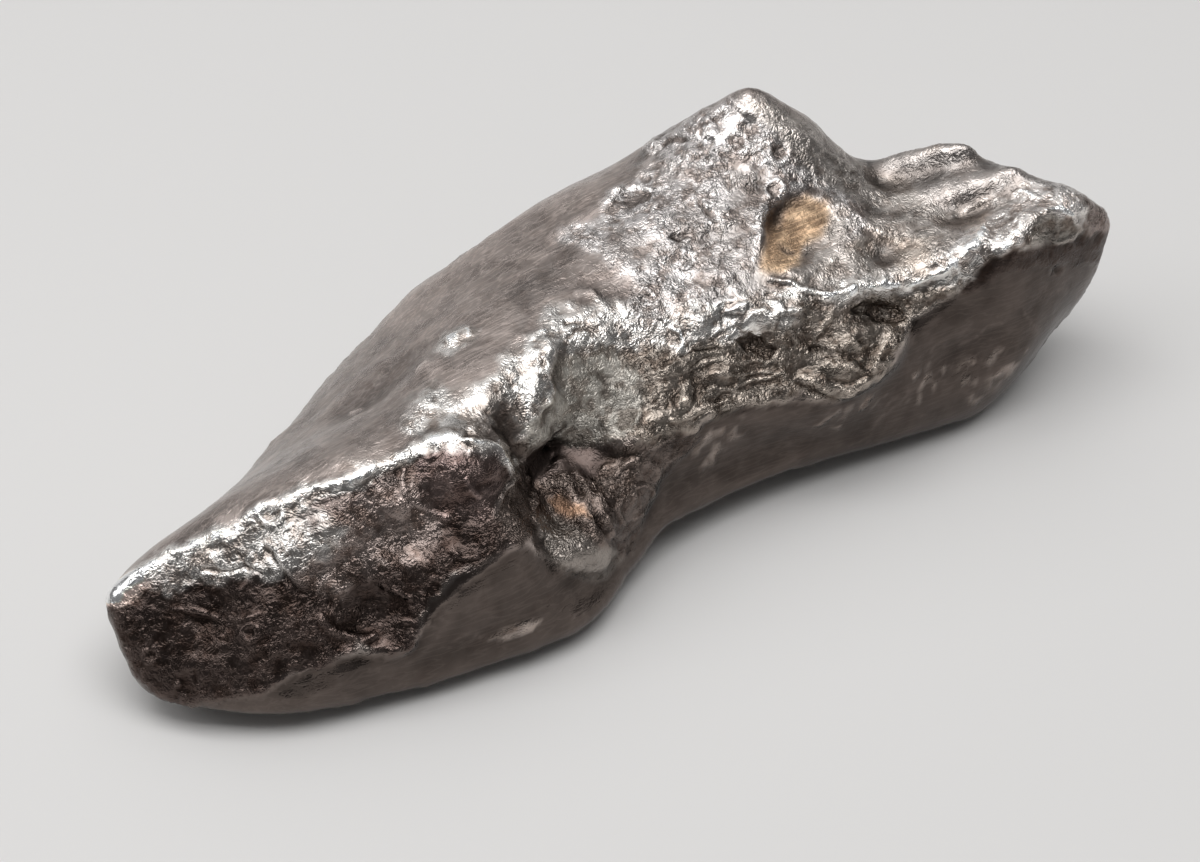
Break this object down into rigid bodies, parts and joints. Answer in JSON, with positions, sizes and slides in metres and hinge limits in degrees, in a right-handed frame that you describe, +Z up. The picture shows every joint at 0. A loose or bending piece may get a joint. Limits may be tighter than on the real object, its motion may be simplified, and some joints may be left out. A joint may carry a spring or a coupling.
{
  "type": "iron meteorite",
  "caption": "Long irregular lump of nickel-iron with thumbprint hollows, a raised peak and a blunt nose; lies on its belly as a display or study specimen.",
  "frame": {"origin": "on the surface the lump rests on, under the middle of its box", "axes": "+X along the lump from its narrow chisel end to its round nose, +Y to its bulging back, +Z up"},
  "size_m": [0.1092, 0.0414, 0.0314],
  "materials": {
    "iron": "bare nickel-iron, rubbed to a dull shine on its high places, darker and pitted in its hollows"
  },
  "bodies": {
    "root": {"iron_meteorite": "iron"}
  },
  "joints": []
}
